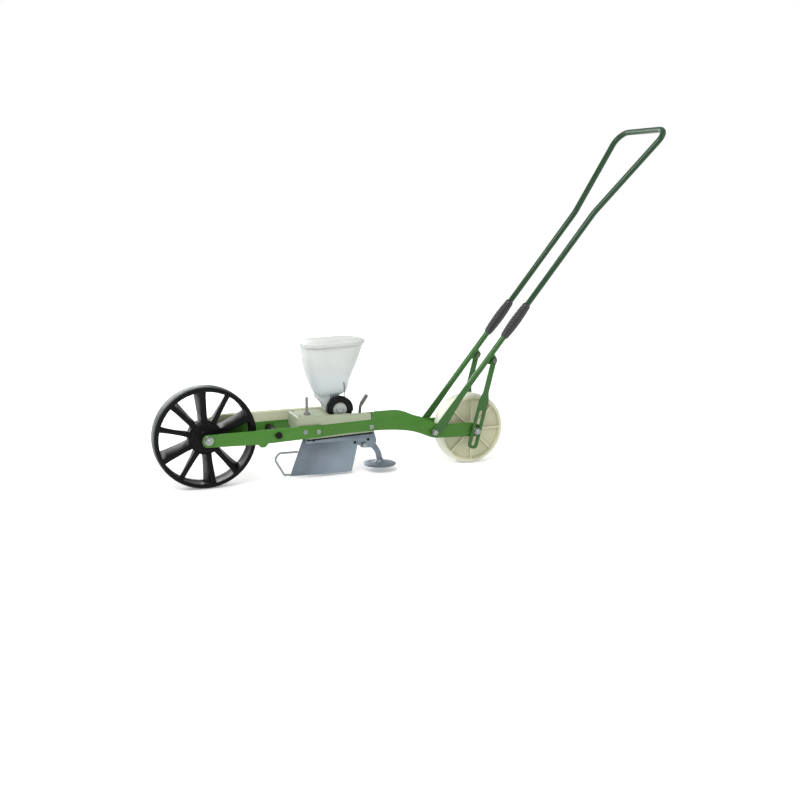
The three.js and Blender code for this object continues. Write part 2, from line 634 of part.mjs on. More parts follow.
// The boot: two cheeks that meet in an upright leading edge, spread to the seed tube and stay parallel.
// Where its leading edge, shoulder and rear edge lie at the top and at the bottom.
const bootUpper = { z: bootTop, edge: -262, shoulder: -343, rear: -423 };
const bootLower = { z: 4, edge: -227, shoulder: -322, rear: -401 };
const bootEdgeAt = (z) => THREE.MathUtils.mapLinear(z, bootLower.z, bootUpper.z, bootLower.edge, bootUpper.edge);
function openerBoot() {
  const level = ({ z, edge, shoulder, rear }, inset) => [
    [edge - inset * 3, -1.2 + Math.min(inset, 1), z], [edge - inset * 3, 1.2 - Math.min(inset, 1), z],
    [shoulder, bootHalf - inset, z], [rear - inset * 4, bootHalf - inset, z],
    [rear - inset * 4, -bootHalf + inset, z], [shoulder, -bootHalf + inset, z],
  ];
  const shell = loft([level(bootLower, 0).reverse(), level(bootUpper, 0).reverse()]);
  const lower = { ...bootLower, z: bootLower.z - 1 };
  const upper = { ...bootUpper, z: bootUpper.z - openerSheet };
  const hollow = loft([level(lower, openerSheet).reverse(), level(upper, openerSheet).reverse()]);
  return cut(shell, hollow, seedDrop());
}
add('opener_boot', openerBoot(), colours.steel);

// ---- Coverer -----------------------------------------------------------------------------------------
const footCentre = { x: -488, z: 16.5 };
const footRadius = 47;
function coverer() {
  const half = channelHalf - openerSheet - 0.8;
  const arm = plate(outline([
    [coverPivot.x + 9, coverPivot.z - 9, 9], [coverPivot.x + 9, coverPivot.z + 9, 9], [-470, 84, 10],
    [-490, 55, 12], [-498, 24], [-481, 24], [-476, 50, 10], [-462, 66, 8],
  ]), -2.5, 2.5);
  const foot = new THREE.LatheGeometry([[0, -1], [footRadius - 1, -1.5], [footRadius, 0], [28, 2.5],
    [14, 6], [8, 14], [0, 14]].map(([r, h]) => new THREE.Vector2(r, h)), 30);
  const disc = solid(foot.rotateX(Math.PI / 2).translate(footCentre.x, 0, footCentre.z));
  return cut(join(arm, disc, bar(coverPivot, 8, -half, half, 20)), bar(coverPivot, 4.4, -30, 30, 16));
}
add('coverer', coverer(), colours.steel);
add('coverer_pivot_bolt', join(
  bar(coverPivot, 4, -channelHalf - 6, channelHalf + 6, 16),
  ...sides.map(({ sign }) => hexNut(coverPivot, sign, channelHalf + seatGap, 5, 7.5)),
), colours.zinc);

// ---- Wire guard --------------------------------------------------------------------------------------
const wireRadius = 3;
const wireHigh = 70;
const wireLow = 8.5;
add('wire_guard', rod([
  { point: new THREE.Vector3(bootEdgeAt(wireHigh - wireRadius) + seatGap, 0, wireHigh) },
  { point: new THREE.Vector3(-196, 0, wireHigh + 1), bend: 12 },
  { point: new THREE.Vector3(-185, 0, 54), bend: 12 },
  { point: new THREE.Vector3(-211, 0, wireLow), bend: 5 },
  { point: new THREE.Vector3(bootEdgeAt(wireLow - wireRadius) + seatGap, 0, wireLow) },
], wireRadius), colours.steel);

// ---- Handle ------------------------------------------------------------------------------------------
// Each lower arm is a tube with a flat blade at the pivot and a lug for the brace. A sleeve holds the bow on it.
const braceLug = { s: 264, off: -16.8 };
const bladeEnd = 150;
const tubeSplit = sleeveCentre;
const flatten = (s, off) => {
  const place = onHandle(s, 0, off);
  return [place.x, place.z];
};
function handleArm(sign) {
  const y = handleCentre * sign;
  const ends = [{ point: onHandle(118, y) }, { point: onHandle(tubeSplit - 1, y) }];
  const shaft = tube(ends, handleTubeRadius, handleTubeWall);
  const blade = plate(outline([
    [...flatten(-13, -13), 11.5], [...flatten(-13, 9.5), 10.5], [...flatten(bladeEnd, 8)],
    [...flatten(bladeEnd, -8)], [...flatten(64, -16.5), 14], [...flatten(24, -20.5), 12],
  ]), ...span(sign, armInner, plateOuter));
  const lug = plate(outline([
    [...flatten(braceLug.s - 22, 0)], [...flatten(braceLug.s + 18, 0)],
    [...flatten(braceLug.s + 11, braceLug.off - 9), 7], [...flatten(braceLug.s - 9, braceLug.off - 9), 7],
  ]), ...span(sign, armInner, plateOuter));
  const pinHole = onHandle(braceLug.s, 0, braceLug.off);
  return cut(join(shaft, blade, lug), bar(handlePivot, 5 + seatGap, -70, 70), bar(pinHole, 4 + seatGap, -70, 70, 12));
}
for (const { tag, sign } of sides) {
  add(`handle_arm_${tag}`, handleArm(sign), colours.handle);
  const y = handleCentre * sign;
  const half = sleeveLength / 2;
  const bore = handleTubeRadius + seatGap;
  const profile = [[bore, -half], [bore + 2.5, -half], [sleeveRadius - 1.5, -half + 16], [sleeveRadius, -12],
    [sleeveRadius, 12], [sleeveRadius - 1.5, half - 16], [bore + 2.5, half], [bore, half]];
  const points = [...profile, profile[0]].map(([r, h]) => new THREE.Vector2(r, h));
  const sleeve = new THREE.LatheGeometry(points, 20);
  sleeve.applyQuaternion(new THREE.Quaternion().setFromUnitVectors(new THREE.Vector3(0, 1, 0), along));
  const place = onHandle(sleeveCentre, y);
  add(`handle_sleeve_${tag}`, solid(sleeve.translate(place.x, place.y, place.z)), colours.black);
}
add('handle_bow', tube([
  { point: onHandle(tubeSplit + 1, handleCentre) },
  { point: onHandle(flareStart, handleCentre), bend: 90, steps: 2 },
  { point: onHandle(handleLength, gripHalfWidth), bend: 36, steps: 6 },
  { point: onHandle(handleLength, -gripHalfWidth), bend: 36, steps: 6 },
  { point: onHandle(flareStart, -handleCentre), bend: 90, steps: 2 },
  { point: onHandle(tubeSplit + 1, -handleCentre) },
], handleTubeRadius, handleTubeWall), colours.handle);

// ---- Height braces -----------------------------------------------------------------------------------
// A flat bar hangs from each lug. Its long slot is clamped on the rear axle and sets the handle's height.
const lugPin = onHandle(braceLug.s, 0, braceLug.off);
const towardsAxle = new THREE.Vector2(rearAxle.x - lugPin.x, rearAxle.z - lugPin.z).normalize();
const onBrace = (s, off) => [
  lugPin.x + towardsAxle.x * s - towardsAxle.y * off,
  lugPin.z + towardsAxle.y * s + towardsAxle.x * off,
];
const slotHalf = 5.5;
const slotRange = [146, 250];
const barHalf = 8;
const slottedHalf = 15;
function brace(sign) {
  const end = slotRange[1] + 8;
  const shape = outline([
    [...onBrace(-barHalf, -barHalf), 8], [...onBrace(-barHalf, barHalf), 8], [...onBrace(96, barHalf), 10],
    [...onBrace(112, slottedHalf), 10], [...onBrace(end, slottedHalf), 12], [...onBrace(end, -slottedHalf), 12],
    [...onBrace(112, -slottedHalf), 10], [...onBrace(96, -barHalf), 10],
  ]);
  const slot = outline([
    [...onBrace(slotRange[0], -slotHalf), slotHalf], [...onBrace(slotRange[0], slotHalf), slotHalf],
    [...onBrace(slotRange[1], slotHalf), slotHalf], [...onBrace(slotRange[1], -slotHalf), slotHalf],
  ]);
  const body = plate(shape, ...span(sign, braceInner, braceOuter));
  return cut(body, plate(slot, -70, 70), bar(lugPin, 4 + seatGap, -70, 70, 16));
}
for (const { tag, sign } of sides) {
  add(`height_brace_${tag}`, brace(sign), colours.handle);
  add(`brace_pin_${tag}`, join(
    bar(lugPin, 4, ...span(sign, armInner - 6, braceOuter + 5), 16),
    hexNut(lugPin, sign, braceOuter + seatGap, 5, 8),
    bar(lugPin, 7, ...span(sign, armInner - 6, armInner - seatGap), 16),
  ), colours.zinc);
  add(`axle_nut_${tag}`, join(
    bar(rearAxle, 12, ...span(sign, braceOuter + seatGap, braceOuter + seatGap + 2)),
    hexNut(rearAxle, sign, braceOuter + seatGap + 2, nutHeight, nutRadius),
  ), colours.zinc);
}

// ---- Centre the machine on its footprint -------------------------------------------------------------
machine.updateMatrixWorld(true);
const extent = new THREE.Box3().setFromObject(machine, true);
machine.position.set(-(extent.min.x + extent.max.x) / 2, 0, datumHeight);

const seeder = new THREE.Group();
seeder.add(machine);
export default seeder;
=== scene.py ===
"""A walk-behind vegetable seeder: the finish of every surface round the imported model, and its small fittings.

Lengths are in metres in the row frame: +X is the way the seeder travels, +Y its left side, +Z up. Places
in millimetres are counted from the datum point, which lies at the ground just behind the front axle.
"""
import json
import math

import bmesh
import bpy
from mathutils import Matrix, Quaternion, Vector


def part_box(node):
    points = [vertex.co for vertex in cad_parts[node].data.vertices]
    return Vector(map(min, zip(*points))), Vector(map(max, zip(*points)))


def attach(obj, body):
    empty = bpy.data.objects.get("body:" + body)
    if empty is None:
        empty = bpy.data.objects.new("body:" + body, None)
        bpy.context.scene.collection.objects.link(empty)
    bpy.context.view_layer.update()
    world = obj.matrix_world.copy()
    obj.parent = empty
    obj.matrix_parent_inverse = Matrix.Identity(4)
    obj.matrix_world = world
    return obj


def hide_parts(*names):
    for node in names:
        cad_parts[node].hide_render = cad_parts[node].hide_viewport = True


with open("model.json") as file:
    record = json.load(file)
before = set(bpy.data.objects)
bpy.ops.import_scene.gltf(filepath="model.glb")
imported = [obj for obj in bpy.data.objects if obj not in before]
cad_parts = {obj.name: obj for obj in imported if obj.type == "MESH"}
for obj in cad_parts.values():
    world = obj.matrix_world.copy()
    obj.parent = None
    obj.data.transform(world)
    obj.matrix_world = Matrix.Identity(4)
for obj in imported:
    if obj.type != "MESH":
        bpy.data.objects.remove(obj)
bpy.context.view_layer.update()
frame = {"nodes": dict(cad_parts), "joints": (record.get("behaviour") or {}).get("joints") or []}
NODES = frame["nodes"]
MM = 0.001
UP = Vector((0, 0, 1))
LEFT = Vector((0, 1, 0))
SIDES = (("left", 1), ("right", -1))


def joint_place(name):
    return Vector(next(joint["pos_m"] for joint in frame["joints"] if joint["name"] == name))


# ---- Places, in millimetres from the datum point -----------------------------------------------------
FRONT_AXLE = Vector((3, 0, 134))
DATUM = joint_place("front_wheel_spin") - FRONT_AXLE * MM


def from_joint(name):
    """Where a joint lies, in whole millimetres from the datum point."""
    return Vector([round(value) for value in (joint_place(name) - DATUM) / MM])


REAR_AXLE = from_joint("rear_wheel_spin")
HANDLE_PIVOT = from_joint("handle_tilt")
ROLLER = from_joint("seed_roller_spin")
HANDLE_ANGLE = math.radians(50.9)  # above level, towards the rear
UNIT_PITCH = Matrix.Rotation(math.radians(2.4), 3, "Y")  # the hopper leans forward

# The base's top round the catch pin and, behind the roller, round the release lever.
DECK_TOP, TAIL_TOP = 176, 156
PIN_X, LEVER_X, PIN_Y = -270, -420, 20
# How far from the middle of the machine these lie on each side.
ARM_MIDDLE = 50.4  # the handle's arms
ARM_FACE, RAIL_FACE = 53.4, 48.0  # the outer faces of the front arms and the rails
BOOT_FACE, CHANNEL_FACE = 13, 15.9
# The chain case on the right side: where its halves meet, and its outer face.
CASE_SEAM, CASE_FACE = -69.4, -78.4


def at(x, y, z):
    """A place in the row frame from millimetres counted from the datum point."""
    return DATUM + Vector((x, y, z)) * MM


def on_unit(x, y, z):
    """The same for what leans with the hopper, which is turned about the roller's axis."""
    place = UNIT_PITCH @ (Vector((x, y, z)) - ROLLER) + ROLLER
    return at(*place)


def on_handle(s, y, off):
    """A place s up the handle from its pivot and off square to it, towards the front and up."""
    x = HANDLE_PIVOT.x - math.cos(HANDLE_ANGLE) * s + math.sin(HANDLE_ANGLE) * off
    z = HANDLE_PIVOT.z + math.sin(HANDLE_ANGLE) * s + math.cos(HANDLE_ANGLE) * off
    return at(x, y, z)


def out(sign):
    """The way out of the machine on a side."""
    return Vector((0, sign, 0))


def round_the(centre, radius, degrees):
    """A point on a circle about an axle, as (x, z), with its angle counted upward from the front."""
    angle = math.radians(degrees)
    return centre.x + radius * math.cos(angle), centre.z + radius * math.sin(angle)


# ---- Shapes ------------------------------------------------------------------------------------------
SAME_POINT = 1e-6  # metres between points that are one


def skin(name, rings, body, material, loop=False, crease=30):
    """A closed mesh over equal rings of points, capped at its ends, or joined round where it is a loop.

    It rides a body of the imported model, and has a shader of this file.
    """
    mesh = bpy.data.meshes.new(name)
    build = bmesh.new()
    rows = [[build.verts.new(point) for point in ring] for ring in rings]
    count = len(rows[0])
    for row, following in zip(rows, rows[1:] + rows[:1] if loop else rows[1:]):
        for k in range(count):
            build.faces.new((row[k], row[(k + 1) % count], following[(k + 1) % count], following[k]))
    if not loop:
        build.faces.new(rows[0])
        build.faces.new(rows[-1])
    bmesh.ops.remove_doubles(build, verts=build.verts, dist=SAME_POINT)
    bmesh.ops.dissolve_degenerate(build, dist=SAME_POINT, edges=build.edges)
    bmesh.ops.recalc_face_normals(build, faces=build.faces)
    build.to_mesh(mesh)
    build.free()
    for face in mesh.polygons:
        face.use_smooth = True
    mesh.set_sharp_from_angle(angle=math.radians(crease))
    mesh.materials.append(SHADERS[material].material)
    made = bpy.data.objects.new(name, mesh)
    bpy.context.scene.collection.objects.link(made)
    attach(made, body)
    return made


def square_to(axis):
    """Two unit vectors square to an axis and to each other."""
    helper = UP if abs(axis.z) < 0.9 else Vector((1, 0, 0))
    first = axis.cross(helper).normalized()
    return first, axis.cross(first)


def turned_rings(profile, centre, axis, segments):
    """Rings about an axis from (radius, height) pairs in millimetres. A radius may vary with the angle."""
    axis = axis.normalized()
    first, second = square_to(axis)
    rings = []
    for radius, height in profile:
        ring = []
        for k in range(segments):
            angle = 2 * math.pi * k / segments
            reach = (radius(angle) if callable(radius) else radius) * MM
            away = first * math.cos(angle) + second * math.sin(angle)
            ring.append(centre + axis * height * MM + away * reach)
        rings.append(ring)
    return rings


def turned_piece(name, profile, centre, axis, body, slot, material=None, segments=32, loop=False):
    return skin(name, turned_rings(profile, centre, axis, segments), body, material or slot, loop)


def swept_rings(path, section, up, scale=lambda share: 1.0, loop=False):
    """Rings of a section, given as (across, up) pairs in millimetres, carried along a path of places."""
    rings = []
    last = len(path) - 1
    for i, place in enumerate(path):
        before = path[i - 1] if i > 0 or loop else place
        after = path[(i + 1) % len(path)] if i < last or loop else place
        ahead = (after - before).normalized()
        across = ahead.cross(up).normalized()
        lift = across.cross(ahead)
        size = scale(i / last) * MM
        rings.append([place + across * a * size + lift * b * size for a, b in section])
    return rings


def round_section(radius, sides):
    turns = [2 * math.pi * k / sides for k in range(sides)]
    return [(radius * math.cos(turn), radius * math.sin(turn)) for turn in turns]


def boxed_circle(squareness, sides=28):
    """A circle that is pressed towards a square, as (across, up) pairs within one."""
    points = []
    for k in range(sides):
        angle = 2 * math.pi * (k + 0.5) / sides
        points.append([math.copysign(abs(part) ** (2 / squareness), part)
                       for part in (math.cos(angle), math.sin(angle))])
    return points


def hexagon(flats, rounding=0.0):
    """The radius of a hexagon at an angle, from the distance across its flats, eased towards a circle."""
    corner_turn = math.pi / 3

    def radius(angle):
        off = (angle % corner_turn) - corner_turn / 2
        sharp = flats / 2 / math.cos(off)
        return sharp * (1 - rounding) + flats / 2 * rounding
    return radius


def layered(name, outline, layers, centre, place, body, material):
    """A flat piece from an outline at several heights, grown at each from a centre by its own share."""
    mid_a, mid_b = centre
    rings = [[place(mid_a + (a - mid_a) * grow, mid_b + (b - mid_b) * grow, height) for a, b in outline]
             for height, grow in layers]
    return skin(name, rings, body, material)


def bead(name, start, end, up, radius, body, material):
    """A straight weld, rippled and thinner at its ends."""
    pitch, ripple, steps_per_ripple = 1.6 * MM, 0.16, 3
    steps = max(1, round((end - start).length / pitch * steps_per_ripple))
    places = [start] + [start.lerp(end, (k + 1) / steps) for k in range(steps)]

    def size(share):
        turn = 2 * math.pi * share * len(places) / steps_per_ripple
        return min(1, 0.35 + 9 * min(share, 1 - share)) * (1 + ripple * math.cos(turn))

    rings = swept_rings(places, round_section(radius, 8), up, size)
    return skin(name, rings, body, material, crease=70)


# ---- Materials ---------------------------------------------------------------------------------------
NOISE_LOW, NOISE_HIGH = 0.3, 0.7  # most of a noise texture's values lie between these
MIX_FIRST, MIX_SECOND, MIX_RESULT = 6, 7, 2  # the colour sockets of a mix node


class Shader:
    """A material with one Principled shader, and short calls for the nodes that feed it."""

    def __init__(self, name, colour, roughness, **settings):
        self.name = name
        self.material = bpy.data.materials.new(name)
        self.material.use_nodes = True
        self.tree = self.material.node_tree
        self.shader = self.tree.nodes["Principled BSDF"]
        self.colour = colour
        self.set("Base Color", (*colour, 1))
        self.set("Roughness", roughness)
        for socket, value in settings.items():
            self.set(socket.replace("_", " "), value)
        self.place = self.node("ShaderNodeTexCoord").outputs["Object"]

    def set(self, socket, value):
        self.shader.inputs[socket].default_value = value

    def node(self, kind, **values):
        """A node with values for its sockets or, where it has no such socket, for its settings."""
        made = self.tree.nodes.new(kind)
        for key, value in values.items():
            if key in made.inputs:
                made.inputs[key].default_value = value
            else:
                setattr(made, key, value)
        return made

    def link(self, output, socket):
        self.tree.links.new(output, socket)

    def vector(self, operation, first, second=None):
        """A vector node that takes its first value from an output and has a fixed second one."""
        made = self.node("ShaderNodeVectorMath", operation=operation)
        self.link(first, made.inputs[0])
        if second is not None:
            made.inputs[1].default_value = second
        return made

    def stretched(self, scale):
        """Object coordinates with each axis scaled by itself."""
        mapping = self.node("ShaderNodeMapping", Scale=scale)
        self.link(self.place, mapping.inputs["Vector"])
        return mapping.outputs["Vector"]

    def noise(self, scale, detail, where=None):
        made = self.node("ShaderNodeTexNoise", Scale=scale, Detail=detail)
        self.link(where or self.place, made.inputs["Vector"])
        return made.outputs["Fac"]

    def ramp(self, factor, low, high):
        """A colour or a grey that goes from low to high where most values of a noise lie."""
        made = self.node("ShaderNodeValToRGB")
        for element, position, value in zip(made.color_ramp.elements, (NOISE_LOW, NOISE_HIGH), (low, high)):
            element.position = position
            element.color = (*value, 1) if isinstance(value, tuple) else (value, value, value, 1)
        self.link(factor, made.inputs["Fac"])
        return made.outputs["Color"]

    def along(self, node, start, end):
        """A factor from 0 to 1 between two places, fixed to the node."""
        to_node = node.matrix_world.inverted()
        start, end = to_node @ start, to_node @ end
        way = end - start
        offset = self.vector("SUBTRACT", self.place, start)
        run = self.vector("DOT_PRODUCT", offset.outputs["Vector"], way / way.length_squared)
        return run.outputs["Value"]

    def distance(self, node, centre, kept=(1, 1, 1)):
        """The distance from a place fixed to the node, leaving out the directions that are 0 in kept."""
        to_node = node.matrix_world.inverted()
        offset = self.vector("SUBTRACT", self.place, to_node @ centre)
        flat = [abs(value) for value in to_node.to_3x3() @ Vector(kept)]
        within = self.vector("MULTIPLY", offset.outputs["Vector"], flat)
        return self.vector("LENGTH", within.outputs["Vector"]).outputs["Value"]

    def spread(self, value, low, high, least=0.0, most=1.0):
        """What lies between low and high, carried over to lie between least and most."""
        ends = {"From Min": low, "From Max": high, "To Min": least, "To Max": most}
        made = self.node("ShaderNodeMapRange", **ends)
        self.link(value, made.inputs["Value"])
        return made.outputs["Result"]

    def recolour(self, factor, colour):
        """Mixes another base colour over the noisy one by factor."""
        base = self.shader.inputs["Base Color"]
        mix = self.node("ShaderNodeMix", data_type="RGBA")
        self.link(base.links[0].from_socket, mix.inputs[MIX_FIRST])
        mix.inputs[MIX_SECOND].default_value = (*colour, 1)
        self.link(factor, mix.inputs["Factor"])
        self.link(mix.outputs[MIX_RESULT], base)

    def tint(self, factor, low, high):
        """The base colour goes between two strengths of itself with factor."""
        dark = tuple(part * low for part in self.colour)
        light = tuple(min(1, part * high) for part in self.colour)
        self.link(self.ramp(factor, dark, light), self.shader.inputs["Base Color"])

    def vary_roughness(self, factor, low, high):
        self.link(self.ramp(factor, low, high), self.shader.inputs["Roughness"])

    def bump(self, height, strength, distance):
        made = self.node("ShaderNodeBump", Strength=strength, Distance=distance)
        self.link(height, made.inputs["Height"])
        self.link(made.outputs["Normal"], self.shader.inputs["Normal"])


def srgb(red, green, blue):
    """A colour given as 0-255 display values, as the linear values that shaders take."""
    def linear(value):
        value /= 255
        return value / 12.92 if value <= 0.04045 else ((value + 0.055) / 1.055) ** 2.4
    return (linear(red), linear(green), linear(blue))


def powder_coat(name, colour, gloss=0.3):
    """Sprayed enamel with a slightly uneven skin."""
    made = Shader(name, colour, 0.34, Specular_IOR_Level=0.22, Coat_Weight=gloss * 0.4, Coat_Roughness=0.14)
    made.tint(made.noise(5, 4), 0.9, 1.1)
    made.vary_roughness(made.noise(40, 2), 0.26, 0.4)
    made.bump(made.noise(650, 2), 0.2, 0.0004)
    return made


def moulded(name, colour, roughness, grain=900, milky=0.0, depth=0.05, **settings):
    """Grained plastic. What light passes through a milky one keeps its colour."""
    made = Shader(name, colour, roughness, Subsurface_Radius=(1, 1, 1), Subsurface_Weight=milky,
                  Subsurface_Scale=depth, **settings)
    made.tint(made.noise(14, 3), 0.94, 1.06)
    made.vary_roughness(made.noise(60, 2), roughness - 0.06, roughness + 0.06)
    made.bump(made.noise(grain, 2), 0.18, 0.0003)
    return made


def metal(name, colour, roughness, streaks, metallic=1.0):
    """Bare or plated metal, with marks that are stretched along the axes by the streaks."""
    made = Shader(name, colour, roughness, Metallic=metallic)
    made.tint(made.noise(30, 5), 0.86, 1.1)
    made.vary_roughness(made.noise(8, 4, made.stretched(streaks)), roughness - 0.08, roughness + 0.1)
    made.bump(made.noise(60, 3, made.stretched(streaks)), 0.1, 0.0003)
    return made


SHEET, PLATED = (6, 6, 90), (30, 30, 30)  # rolled marks run along the sheet, and plating has none

SHADERS = {made.name: made for made in (
    powder_coat("frame_green", srgb(62, 112, 38)),
    powder_coat("handle_green", srgb(27, 61, 33), 0.6),
    # This green is the handle's paint made paler: painted light on the lower arms, shared by their lugs and
    # welds and by the braces.
    powder_coat("lit_arm_green", srgb(46, 92, 36), 0.6),
    moulded("wheel_black", srgb(9, 9, 10), 0.42, 700, Specular_IOR_Level=0.12),
    moulded("press_wheel", srgb(190, 190, 160), 0.4, 300, milky=0.35, depth=0.02),
    moulded("cream_plastic", srgb(196, 198, 170), 0.45, milky=0.15, depth=0.004),
    # The deck's cream is the cream plastic made darker: painted shade on the seed unit's base.
    moulded("shaded_deck_cream", srgb(148, 157, 132), 0.45),
    moulded("hopper_plastic", srgb(196, 200, 196), 0.38, 500, milky=0.3, depth=0.01),
    moulded("lid_plastic", srgb(192, 195, 192), 0.38, 500, milky=0.3, depth=0.01),
    moulded("housing_plastic", srgb(176, 182, 180), 0.4, 500, milky=0.2, depth=0.006),
    moulded("disc_grey", srgb(168, 174, 170), 0.42),
    moulded("grey_plastic", srgb(116, 115, 112), 0.45),
    moulded("lever_grey", srgb(84, 83, 80), 0.45),
    moulded("black_plastic", srgb(12, 13, 13), 0.42, Specular_IOR_Level=0.15),
    moulded("grip_black", srgb(18, 19, 22), 0.36, 1400, Specular_IOR_Level=0.7),
    metal("opener_steel", srgb(122, 133, 143), 0.42, SHEET, 0.75),
    # The boot's steel is the opener's steel made darker: painted shade on the boot's front.
    metal("shaded_boot_steel", srgb(114, 124, 134), 0.42, SHEET, 0.75),
    metal("dull_zinc", srgb(96, 108, 92), 0.42, PLATED),
    metal("zinc", srgb(150, 157, 152), 0.34, PLATED),
)}

FINISH = {
    "front_wheel": "wheel_black", "rear_wheel": "press_wheel", "front_axle": "zinc", "rear_axle": "zinc",
    "front_cross_bolt": "black_plastic", "handle_pivot_bolt": "zinc", "seed_unit_base": "shaded_deck_cream",
    "roller_housing": "housing_plastic", "roller_cap": "black_plastic", "seed_roller": "disc_grey",
    "chain_case": "cream_plastic", "hopper": "hopper_plastic", "hopper_lid": "lid_plastic",
    "hopper_catch_pin": "grey_plastic", "release_lever": "lever_grey", "opener_channel": "opener_steel",
    "opener_boot": "shaded_boot_steel", "coverer": "opener_steel", "coverer_pivot_bolt": "zinc",
    "wire_guard": "zinc", "handle_bow": "handle_green",
}
FINISH_OF_PAIRS = {
    "side_rail": "frame_green", "front_arm": "frame_green", "handle_arm": "handle_green",
    "handle_sleeve": "grip_black", "height_brace": "lit_arm_green", "brace_pin": "dull_zinc", "axle_nut": "zinc",
}
for stem, finish in FINISH_OF_PAIRS.items():
    FINISH.update({f"{stem}_{tag}": finish for tag, _ in SIDES})

ACROSS = (1, 0, 1)  # keeps distances square to an axle


def shade_by_place():
    """Painted sheen with dust on the tread, a paler rim on the press wheel, painted shading on the boot, which
    is paler behind, and a hopper bluer low down.
    """
    wheel = SHADERS["wheel_black"]
    from_axle = wheel.distance(NODES["front_wheel"], at(*FRONT_AXLE), ACROSS)
    # The tread is painted a paler grey all round: partly dust, partly a painted sheen where light catches it.
    tread = wheel.spread(from_axle, 132.5 * MM, 135.2 * MM)
    wheel.recolour(tread, srgb(74, 78, 79))

    press = SHADERS["press_wheel"]
    from_axle = press.distance(NODES["rear_wheel"], at(*REAR_AXLE), ACROSS)
    rim = press.spread(from_axle, 88 * MM, 98 * MM)
    press.recolour(rim, srgb(204, 206, 188))

    boot = SHADERS["shaded_boot_steel"]
    # The boot's steel is darker than the opener's and grows paler behind: painted shading of its front and rear
    # faces.
    rear_painted_light = boot.along(NODES["opener_boot"], at(-262, 0, 96), at(-392, 0, 30))
    boot.recolour(boot.spread(rear_painted_light, 0.35, 0.75), srgb(136, 150, 160))

    hopper = SHADERS["hopper_plastic"]
    downward = hopper.along(NODES["hopper"], at(-350, 0, 330), at(-350, 0, 240))
    hopper.recolour(hopper.spread(downward, 0, 1), srgb(197, 206, 208))


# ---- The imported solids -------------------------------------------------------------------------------
def ease_edges(piece):
    """Rounds a solid's sharp edges with a narrow bevel and shades the rest smoothly."""
    weld = piece.modifiers.new("weld", "WELD")
    weld.merge_threshold = SAME_POINT
    flat = piece.modifiers.new("flat_faces", "DECIMATE")
    flat.decimate_type = "DISSOLVE"
    flat.angle_limit = math.radians(0.6)
    bevel = piece.modifiers.new("bevel", "BEVEL")
    bevel.width = 0.8 * MM
    bevel.segments = 2
    bevel.limit_method = "ANGLE"
    bevel.angle_limit = math.radians(32)
    bevel.harden_normals = True
    for face in piece.data.polygons:
        face.use_smooth = True


def dress_solids():
    for name, finish in FINISH.items():
        node = NODES[name]
        node.data.materials.clear()
        node.data.materials.append(SHADERS[finish].material)
        ease_edges(node)


# ---- Handle ------------------------------------------------------------------------------------------
# Up an arm: distance from the pivot, lower and upper edge, half thickness and how square the section is.
# The tube is pressed flat towards the pivot. The right arm is hardly wider there than its tube.
ARM_ROWS = {
    "left": (
        (-13, -4, 2, 1.4, 4), (-12, -8, 5.5, 2, 7), (-9, -11, 8, 2, 7), (-4, -12.9, 9.2, 2, 7),
        (3, -14.2, 9.5, 2, 7), (14, -17.6, 9.3, 2, 7), (24, -19.2, 9.2, 2, 7), (40, -18.6, 9, 2, 7),
        (64, -16.2, 8.8, 2, 7), (90, -13.2, 8.5, 2, 7), (112, -10.9, 8.3, 2.1, 6), (124, -9.8, 8.3, 3.2, 4),
        (136, -9.1, 8.4, 5.2, 3), (148, -8.7, 8.5, 7.2, 2.4), (162, -8.5, 8.5, 8.4, 2),
        (180, -8.5, 8.5, 8.5, 2), (391, -8.5, 8.5, 8.5, 2),
    ),
    "right": (
        (-13, -4, 2, 1.4, 4), (-12, -8, 5.5, 2, 7), (-9, -10.4, 8, 2, 7), (-4, -11.6, 9.2, 2, 7),
        (6, -11.9, 9.5, 2, 7), (40, -11.4, 9.2, 2, 7), (80, -10.6, 8.8, 2, 7), (104, -9.9, 8.5, 2.1, 6),
        (118, -9.3, 8.4, 3.4, 4), (130, -8.9, 8.4, 5.4, 3), (142, -8.6, 8.5, 7.3, 2.4),
        (156, -8.5, 8.5, 8.4, 2), (180, -8.5, 8.5, 8.5, 2), (391, -8.5, 8.5, 8.5, 2),
    ),
}
LUG = 264  # how far up an arm its brace hangs


def arm_tube(tag, sign):
    rings = []
    for s, low, high, half, squareness in ARM_ROWS[tag]:
        middle, reach = (low + high) / 2, (high - low) / 2
        rings.append([on_handle(s, sign * (ARM_MIDDLE + half * b), middle + reach * a)
                      for a, b in boxed_circle(squareness)])
    return skin(f"arm_{tag}", rings, "handle", "lit_arm_green", crease=50)


def arm_lug(tag, sign):
    """The plate under the arm that the brace's pin goes through."""
    corners = [(-22, 0), (-13, -20), (-11, -23.5), (-7, -25.5), (1, -25.8), (7, -25.4), (11, -23),
               (12.5, -19), (18, 0)]
    layers = [(-2, 0.93), (-1.5, 1), (1.5, 1), (2, 0.93)]

    def beside(s, off, y):
        return on_handle(LUG + s, sign * (ARM_MIDDLE + y), off)

    layered(f"arm_lug_{tag}", corners, layers, (0.5, -16), beside, "handle", "lit_arm_green")


def handle_arms():
    """Arms whose tube is pressed flat into a blade at the pivot, with their lugs welded on."""
    for tag, sign in SIDES:
        arm = arm_tube(tag, sign)
        arm_lug(tag, sign)
        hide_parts(f"handle_arm_{tag}")
        for face in (1, -1):
            start, end = (on_handle(s, sign * ARM_MIDDLE + face * 2.4, -8.1) for s in (LUG - 19, LUG + 15))
            bead(f"lug_weld_{tag}_{'out' if face == sign else 'in'}", start, end, LEFT, 1.9, "handle",
                 "lit_arm_green")


